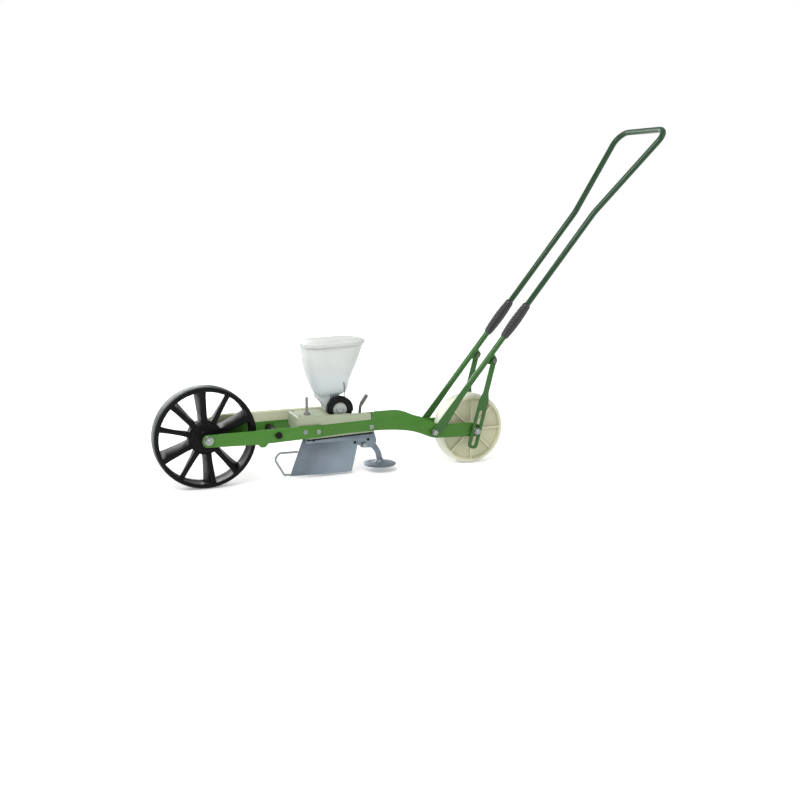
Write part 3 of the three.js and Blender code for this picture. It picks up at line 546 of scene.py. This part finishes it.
def sleeve_profile():
    """Radius and height along a sleeve that is widest in its middle, grooved round and fluted between."""
    half, bore, middle, end, rim = 57.5, 8.7, 15.0, 11.6, 5
    grooves, flutes, flute_depth = 17, 12, 0.35
    pitch = (2 * half - 2 * rim) / grooves

    def width(height):
        share = min(1, abs(height) / half)
        return end + (middle - end) * math.cos(share * math.pi / 2) ** 0.8

    def fluted(base):
        return lambda angle: base - flute_depth * abs(math.sin(angle * flutes)) ** 3

    profile = [(bore, -half), (end - 1.2, -half), (end - 0.2, -half + 1.4)]
    for k in range(grooves):
        for share, depth in ((0.0, 1.3), (0.2, 0.2), (0.5, 0.0), (0.8, 0.2)):
            height = -half + rim + (k + share) * pitch
            profile.append((fluted(width(height) - depth), height))
    return profile + [(end - 0.2, half - 1.4), (end - 1.2, half), (bore, half)]


def grip_sleeves():
    """The sleeves on the joints between the arms and the bow."""
    for tag, _ in SIDES:
        low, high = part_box(f"handle_sleeve_{tag}")
        centre = (low + high) / 2
        pivot = joint_place("handle_tilt")
        pivot.y = centre.y
        rings = turned_rings(sleeve_profile(), centre, centre - pivot, 72)
        made = skin(f"grip_sleeve_{tag}", rings, "handle", "grip_black", loop=True, crease=50)
        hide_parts(f"handle_sleeve_{tag}")


# ---- Bolts, nuts and washers -------------------------------------------------------------------------
def washer(name, centre, sign, reach, bore, thick):
    eased = 0.4
    profile = [(bore, 0), (reach - eased, 0), (reach, eased), (reach, thick - eased), (reach - eased, thick),
               (bore, thick)]
    return turned_piece(name, profile, centre, out(sign), "root", "zinc", loop=True)


def pan_head(name, centre, axis, reach, height, slot="zinc"):
    """A low domed head with a hexagonal socket."""
    socket = hexagon(reach * 0.85)
    floor_height = height * 0.35
    profile = [(0, 0), (reach, 0), (reach, height * 0.25), (reach * 0.93, height * 0.6),
               (reach * 0.74, height * 0.9), (reach * 0.58, height), (socket, height), (socket, floor_height),
               (0, floor_height)]
    return turned_piece(name, profile, centre, axis, "root", slot, segments=24)


def hex_nut(name, centre, sign, flats, height, stud):
    """A nut with chamfered corners, and the threaded and rounded end of its bolt."""
    sides, chamfer = hexagon(flats), hexagon(flats, 0.75)
    profile = [(0, 0), (chamfer, 0), (sides, height * 0.14), (sides, height * 0.84), (chamfer, height),
               (stud + 0.5, height), (stud + 0.3, height - 0.6)]
    thread_pitch = 0.8
    for k in range(3):
        turn = height + k * thread_pitch
        profile += [(stud - 0.4, turn + 0.1), (stud, turn + 0.5)]
    profile += [(stud - 0.9, height + 3), (0, height + 3)]
    return turned_piece(name, profile, centre, out(sign), "root", "zinc", segments=48)


def hub_bolt(name, node, centre, spacer, shaft, end, nut, washer_reach):
    """A bolt across the machine in place of a plain node, with spacers, and a washer and a nut on each side.

    A spacer is given by where it starts and ends and its radius, and a nut by its flats and its height.
    """
    start, stop, reach = spacer
    flats, height = nut
    eased = 0.6
    half = [(reach, stop - eased), (reach - eased, stop), (shaft, stop), (shaft, end), (0, end)]
    if start > 0:
        half = [(shaft, start), (reach - eased, start), (reach, start + eased)] + half
    profile = [(radius, -y) for radius, y in reversed(half)] + half
    core = turned_piece(f"{name}_core", profile, at(centre.x, 0, centre.z), LEFT, "root", "zinc", segments=24)
    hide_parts(node)
    washer_thick = 1.6
    for tag, sign in SIDES:
        face = at(centre.x, sign * end, centre.z)
        washer(f"{name}_washer_{tag}", face, sign, washer_reach, shaft * 0.9, washer_thick)
        hex_nut(f"{name}_nut_{tag}", face + out(sign) * washer_thick * MM, sign, flats, height, shaft * 0.8)


def hub_bolts():
    hub_bolt("front_axle_bolt", "front_axle", FRONT_AXLE, spacer=(25.8, 48, 10), shaft=6, end=53.8,
             nut=(19, 6.4), washer_reach=12.5)
    hub_bolt("handle_bolt", "handle_pivot_bolt", HANDLE_PIVOT, spacer=(0, 43.6, 10), shaft=5, end=52.8,
             nut=(15, 5.4), washer_reach=9)


def frame_bolts():
    """The bolts of the arms and rails, the screws of the boot, and the nuts that clamp the braces."""
    bolts = (("arm_front", -256, 136, ARM_FACE), ("arm_rear", -293, 134, ARM_FACE),
             ("rail_rear", -446, 134, RAIL_FACE))
    screws = (("boot_bolt", -410, 86, BOOT_FACE), ("channel_bolt", -448, 92, CHANNEL_FACE),
              ("shoe_bolt", -290, 103, CHANNEL_FACE))
    bolt_washer, clamp_washer, clamp_face = 1.0, 1.8, 57.2
    for tag, sign in SIDES:
        for part, x, z, face in bolts:
            centre = at(x, sign * face, z)
            washer(f"{part}_washer_{tag}", centre, sign, reach=6.4, bore=3, thick=bolt_washer)
            head = centre + out(sign) * bolt_washer * MM
            pan_head(f"{part}_bolt_{tag}", head, out(sign), reach=4.6, height=2.8)
        for part, x, z, face in screws:
            centre = at(x, sign * face, z)
            pan_head(f"{part}_{tag}", centre, out(sign), reach=3.8, height=2.4, slot="black_plastic")
        centre = at(REAR_AXLE.x, sign * clamp_face, REAR_AXLE.z)
        nut_face = centre + out(sign) * clamp_washer * MM
        nut = hex_nut(f"axle_clamp_nut_{tag}", nut_face, sign, flats=17, height=7, stud=5)
        washer(f"axle_clamp_washer_{tag}", centre, sign, reach=10.5, bore=5, thick=clamp_washer)
        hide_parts(f"axle_nut_{tag}")


# ---- Seed unit ---------------------------------------------------------------------------------------
HOPPER_TOP = {"z": 369, "x": -353.5, "long": 80.5, "wide": 56.5, "corner": 41}
# Up the hopper: height, the middle and the side shift of its section, and half the section's length.
HOPPER_ROWS = ((230, -346, -4, 44), (242, -344, -2, 48.6), (266, -342, 0, 55.7), (294, -344, 0, 66.2),
               (322, -347.4, 0, 74.7), (350, -352.2, 0, 80.7), (362, -353.2, 0, 80.6))


def oval(z, grow, per_corner=9):
    """The hopper's top outline at a height, larger or smaller all round by grow."""
    corner = max(HOPPER_TOP["corner"] + grow, 2)
    x_reach = HOPPER_TOP["long"] + grow - corner
    y_reach = HOPPER_TOP["wide"] + grow - corner
    ring = []
    for x_sign, y_sign, start in ((1, 1, 0), (-1, 1, 90), (-1, -1, 180), (1, -1, 270)):
        for k in range(per_corner):
            angle = math.radians(start + 90 * k / (per_corner - 1))
            x = HOPPER_TOP["x"] + x_sign * x_reach + corner * math.cos(angle)
            ring.append(on_unit(x, y_sign * y_reach + corner * math.sin(angle), z))
    return ring


def lid_details():
    """The rolled rim of the lid, the ridge on its top and the tab that a finger lifts."""
    top = HOPPER_TOP["z"]
    for part, ring, thick in (("rim", oval(top - 4.4, 3.2), 1.7), ("ridge", oval(top + 6.6, -17, 7), 1.5)):
        skin(f"lid_{part}", swept_rings(ring, round_section(thick, 8), UP, loop=True), "hopper_lid",
             "lid_plastic", loop=True, crease=60)
    tab = [(-275, -13), (-268.5, -12), (-264.5, -8), (-263.2, 0), (-264.5, 8), (-268.5, 12), (-275, 13)]
    layers = [(top - 3.4, 0.9), (top - 2.8, 1), (top - 0.8, 1), (top - 0.2, 0.9)]
    layered("lid_tab", tab, layers, (-270, 0), on_unit, "hopper_lid", "lid_plastic")


def hopper_seams():
    """The raised lines where the halves of the hopper's mould met, in front and behind."""
    for tag, sign in (("front", 1), ("rear", -1)):
        path = [on_unit(x + sign * (half - 0.1), y, z) for z, x, y, half in HOPPER_ROWS]
        skin(f"hopper_seam_{tag}", swept_rings(path, round_section(0.9, 6), LEFT), "root",
             "hopper_plastic", crease=60)


CAP_FACE = 28  # the outer face of the roller's cap


def cap_screws():
    for k in range(3):
        x, z = round_the(ROLLER, 27.5, 90 + 120 * k)
        pan_head(f"cap_screw_{k}", at(x, CAP_FACE, z), out(1), reach=3.2, height=1.8, slot="black_plastic")


def cap_band():
    """A ribbed band round the roller's cap, above the deck."""
    radius, middle, start, sweep, steps = 36.1, 20.6, -9, 198, 44
    section = [(-6.6, -0.7), (-6.6, 0.7), (-5.8, 1.3), (-2.5, 1.3), (-2, 0.8), (2, 0.8), (2.5, 1.3),
               (5.8, 1.3), (6.6, 0.7), (6.6, -0.7)]
    rings = []
    for k in range(steps + 1):
        degrees = start + sweep * k / steps
        rings.append([])
        for across, lift in section:
            x, z = round_the(ROLLER, radius + lift, degrees)
            rings[-1].append(at(x, middle + across, z))
    skin("cap_band", rings, "root", "black_plastic")


def roller_boss():
    """The raised middle of the seed roller's end, which shows in the cap."""
    profile = [(0, -3), (8.5, 0), (8.5, 1.6), (7.6, 2.4), (5.2, 2.4), (4.8, 1.6), (0, 1.6)]
    turned_piece("roller_boss", profile, at(ROLLER.x, 24.2, ROLLER.z), out(1), "seed_roller", "grey_plastic",
                 "disc_grey")


def cap_clip():
    """A clip on the cap's rim that holds the foot of the spring wire."""
    clip = [(-384, 203), (-380, 215.5), (-374, 218.2), (-366, 219.6), (-366.4, 215.6), (-372, 214),
            (-377, 211), (-380, 202)]
    layers = [(15, 0.88), (16, 1), (23, 1), (24, 0.88)]

    def upright(x, z, y):
        return at(x, y, z)

    layered("cap_clip", clip, layers, (-376, 212), upright, "root", "black_plastic")


def hopper_wire():
    """A spring wire beside the hopper's foot."""
    wire = [(-377, 19, 214), (-380, 19.5, 222), (-380, 20, 231), (-378, 27, 243), (-376, 31.5, 254),
            (-375, 33, 258), (-372, 33, 259)]
    rings = swept_rings([on_unit(*place) for place in wire], round_section(1.3, 8), LEFT)
    skin("hopper_wire", rings, "root", "grey_plastic", crease=60)


def lever_grip():
    """A plastic sleeve over the bent end of the release lever."""
    foot, end = Vector((-424.5, 20, 193)), Vector((-442, 20, 219))
    axis = end - foot
    sizes = [(0, 4.3), (0.02, 5.1), (0.08, 5.5), (0.9, 5.5), (0.97, 4.9), (1.02, 3.2), (1.035, 0.6)]
    rings = turned_rings([(reach, share * axis.length) for share, reach in sizes], at(*foot), axis, 20)
    skin("lever_grip", rings, "root", "lever_grey", crease=50)


def base_details():
    """Screws in the deck and the tail of the base, and the collars round the catch pin and the lever."""
    screws = {"deck": (DECK_TOP, ((-246, 33), (-246, -33), (-318, 34), (-377, -38.9))),
              "tail": (TAIL_TOP, ((-396, -33), (-443, -33)))}
    for part, (top, places) in screws.items():
        for k, (x, y) in enumerate(places):
            pan_head(f"{part}_screw_{k}", at(x, y, top), UP, reach=3.4, height=2)
    profile = [(4.3, 6.4), (8.2, 6.4), (8.8, 5.6), (8.8, 1.6), (9.8, 0.6), (9.8, 0), (4.3, 0)]
    for tag, x, top in (("pin", PIN_X, DECK_TOP), ("lever", LEVER_X, TAIL_TOP)):
        turned_piece(f"{tag}_collar", profile, at(x, PIN_Y, top + 0.1), UP, "root", "grey_plastic", loop=True)


# ---- Chain case --------------------------------------------------------------------------------------
def case_seam():
    """The raised seam round the case where its two halves meet."""
    path = [round_the(FRONT_AXLE, 24, angle) for angle in range(-90, 91, 15)]
    path += [(-4, 161.6), (-40, 171.6), (-60, 174.6), (-120, 175), (-240, 175), (-341, 175)]
    path += [round_the(ROLLER, 22, angle) for angle in range(-20, 271, 15)]
    path += [(-363, 158), (-363, 149), (-355, 146.6), (-240, 134.8), (-120, 122.6), (-30, 113.4)]
    outline = [Vector(point) for point in path]
    flange = [(-1.7, -0.6), (-1.7, 1.1), (-1.1, 1.6), (1.1, 1.6), (1.7, 1.1), (1.7, -0.6)]
    rings = []
    for i, place in enumerate(outline):
        ahead = (outline[(i + 1) % len(outline)] - outline[i - 1]).normalized()
        away = Vector((ahead.y, -ahead.x))
        rings.append([at(place.x + away.x * lift, CASE_SEAM + across, place.y + away.y * lift)
                      for across, lift in flange])
    skin("case_seam", rings, "root", "cream_plastic", loop=True)


def case_screws():
    places = ((14, 147), (10, 118), (-96, 164), (-104, 130), (-232, 166), (-226, 143), (-350, 198),
              (-374, 170))
    profile = [(0, 0.05), (1.6, 0.05), (1.8, 0.5), (4.2, 0.7), (4.4, 0.35), (4.4, -1), (0, -1)]
    for k, (x, z) in enumerate(places):
        turned_piece(f"case_screw_{k}", profile, at(x, CASE_FACE, z), out(-1), "root", "zinc", segments=24)


def case_plug():
    """The plug over the roller's sprocket."""
    profile = [(0, 0.9), (7, 0.9), (7.6, 0.5), (11, 0.5), (11.6, 0), (11.6, -1), (0, -1)]
    turned_piece("case_plug", profile, at(ROLLER.x, CASE_FACE, ROLLER.z), out(-1), "root", "black_plastic")


# ---- Opener and coverer ------------------------------------------------------------------------------
def opener_details():
    """Welds along the top of the boot, dark strips along the channel that are a painted shadow of the rails,
    and welds on the coverer's disc.
    """
    steel, shadow_black = "opener_steel", "black_plastic"
    boot_side, disc_top = 13.4, 29
    for tag, sign in SIDES:
        start, end = at(-343, sign * boot_side, 94.2), at(-400, sign * boot_side, 92.6)
        bead(f"boot_weld_{tag}", start, end, UP, 1.5, "root", steel)
        start, end = at(-276, sign * 4.5, 93.6), at(-342, sign * boot_side, 93.4)
        bead(f"share_weld_{tag}", start, end, UP, 1.5, "root", steel)
    # Dark strips along each side of the channel, under the rail's lower edge: a painted shadow of the rail.
    lower_edge = ((-270, 103.7), (-340, 106.2), (-400, 108.4), (-461, 110.6))
    section = [(-0.8, -2.2), (-0.8, 2.2), (-0.4, 2.6), (0.4, 2.6), (0.8, 2.2), (0.8, -2.2), (0.4, -2.6),
               (-0.4, -2.6)]
    for tag, sign in SIDES:
        path = [at(x, sign * (CHANNEL_FACE + 0.4), z) for x, z in lower_edge]
        skin(f"channel_shadow_strip_{tag}", swept_rings(path, section, UP), "root", shadow_black)
    for tag, sign in SIDES:
        start, end = at(-497.6, sign * 3, disc_top), at(-481.4, sign * 3, disc_top)
        bead(f"disc_weld_{tag}", start, end, UP, 1.6, "coverer", steel)


# ---- Wheels ------------------------------------------------------------------------------------------
SPOKES, FIRST_SPOKE = 10, 157  # the front wheel's spokes, and where the first one points, in degrees
FRONT_HUB_FACE, FRONT_BORE_FACE, REAR_HUB_FACE = 19.8, 25, 27


def front_wheel_details(tag, sign):
    """A ring on the hub's dish, a bush in the bore and a moulded pip between each two spokes."""
    x, z = FRONT_AXLE.x, FRONT_AXLE.z
    ring = [(29, 0), (29.4, 1.2), (30.6, 1.2), (31, 0), (31, -1), (29, -1)]
    turned_piece(f"front_hub_ring_{tag}", ring, at(x, sign * FRONT_HUB_FACE, z), out(sign), "front_wheel",
                 "wheel_black", segments=48, loop=True)
    bush = [(6.7, 0), (6.7, 0.6), (9.6, 0.6), (10.4, 0), (10.4, -1), (6.7, -1)]
    turned_piece(f"front_bush_{tag}", bush, at(x, sign * FRONT_BORE_FACE, z), out(sign), "front_wheel",
                 "black_plastic", loop=True)
    post = [(0, 1.1), (2.4, 1.1), (2.9, 0.6), (2.9, -1), (0, -1)]
    for k in range(SPOKES):
        x, z = round_the(FRONT_AXLE, 34.5, FIRST_SPOKE + (k + 0.5) * 360 / SPOKES)
        turned_piece(f"front_hub_pip_{k}_{tag}", post, at(x, sign * (FRONT_HUB_FACE + 0.2), z), out(sign),
                     "front_wheel", "wheel_black", segments=12)


def rear_wheel_details(tag, sign):
    """A ring on the hub's end and a bush in its bore."""
    centre = at(REAR_AXLE.x, sign * REAR_HUB_FACE, REAR_AXLE.z)
    ring = [(12, 0), (12.5, 1.2), (14.5, 1.2), (15, 0), (15, -1), (12, -1)]
    turned_piece(f"rear_hub_ring_{tag}", ring, centre, out(sign), "rear_wheel", "press_wheel", segments=40,
                 loop=True)
    bush = [(6.7, 0), (6.7, 0.6), (9.4, 0.6), (10, 0), (10, -1), (6.7, -1)]
    turned_piece(f"rear_bush_{tag}", bush, centre, out(sign), "rear_wheel", "black_plastic", loop=True)


def wheel_details():
    for tag, sign in SIDES:
        front_wheel_details(tag, sign)
        rear_wheel_details(tag, sign)


# ---- Studio ------------------------------------------------------------------------------------------
def floor():
    """A white floor that glows more strongly far from the seeder, so that it has no horizon."""
    bpy.ops.mesh.primitive_circle_add(vertices=64, radius=14, fill_type="NGON")
    made = bpy.context.object
    made.name = "floor"
    shade = Shader("floor", (0.86, 0.86, 0.86), 0.7, Specular_IOR_Level=0.1)
    shade.set("Emission Color", (1, 1, 1, 1))
    glow = shade.spread(shade.distance(made, Vector((0, 0, 0))), 0.7, 3.0, 0.22, 0.6)
    shade.link(glow, shade.shader.inputs["Emission Strength"])
    made.data.materials.append(shade.material)


def area_light(name, place, target, size, power):
    data = bpy.data.lights.new(name, "AREA")
    data.shape = "RECTANGLE"
    data.size, data.size_y = size
    data.energy = power
    lamp = bpy.data.objects.new(name, data)
    bpy.context.scene.collection.objects.link(lamp)
    lamp.location = place
    lamp.rotation_euler = (Vector(target) - Vector(place)).to_track_quat("-Z", "Y").to_euler()
    lamp.visible_camera = False


def backdrop():
    """A white surround that lights and reflects more softly than it shows."""
    world = bpy.data.worlds.new("studio")
    world.use_nodes = True
    tree = world.node_tree
    shown, soft = tree.nodes["Background"], tree.nodes.new("ShaderNodeBackground")
    for background, strength in ((shown, 1.0), (soft, 0.58)):
        background.inputs["Color"].default_value = (1, 1, 1, 1)
        background.inputs["Strength"].default_value = strength
    mix = tree.nodes.new("ShaderNodeMixShader")
    tree.links.new(tree.nodes.new("ShaderNodeLightPath").outputs["Is Camera Ray"], mix.inputs["Fac"])
    tree.links.new(soft.outputs["Background"], mix.inputs[1])
    tree.links.new(shown.outputs["Background"], mix.inputs[2])
    tree.links.new(mix.outputs["Shader"], tree.nodes["World Output"].inputs["Surface"])
    bpy.context.scene.world = world
    bpy.context.scene.view_settings.view_transform = "Standard"


def lights():
    """A key and a fill from the left, and two from the right that edge the tubes and light that side."""
    area_light("key", (1.6, 1.6, 3.4), (0, 0, 0.3), (1.8, 1.8), 92)
    area_light("fill", (-2.6, 2.0, 2.2), (0, 0, 0.3), (2.5, 2.5), 22)
    area_light("back", (1.1, -3.5, 1.5), (0, 0, 0.4), (3.0, 1.8), 85)
    area_light("side", (2.6, -1.6, 2.6), (-0.3, 0, 0.5), (1.6, 1.6), 36)


def camera():
    """Looks at the left side from a little in front and above, with a slight lean."""
    data = bpy.data.cameras.new("camera")
    data.lens = 45.91
    data.sensor_width = 36
    made = bpy.data.objects.new("camera", data)
    bpy.context.scene.collection.objects.link(made)
    made.location = (1.1249, 2.5901, 0.7557)
    ahead = Vector((-0.3774, -0.9051, -0.1958))
    lean = Quaternion((0, 0, 1), math.radians(0.49))
    made.rotation_euler = (ahead.to_track_quat("-Z", "Y") @ lean).to_euler()
    bpy.context.scene.camera = made


STEPS = (
    shade_by_place, dress_solids,
    handle_arms, grip_sleeves, hub_bolts, frame_bolts, lid_details, hopper_seams,
    cap_screws, cap_band, roller_boss, cap_clip, hopper_wire, lever_grip, base_details,
    case_seam, case_screws, case_plug, opener_details, wheel_details,
    floor, lights, backdrop, camera,
)
for step in STEPS:
    step()
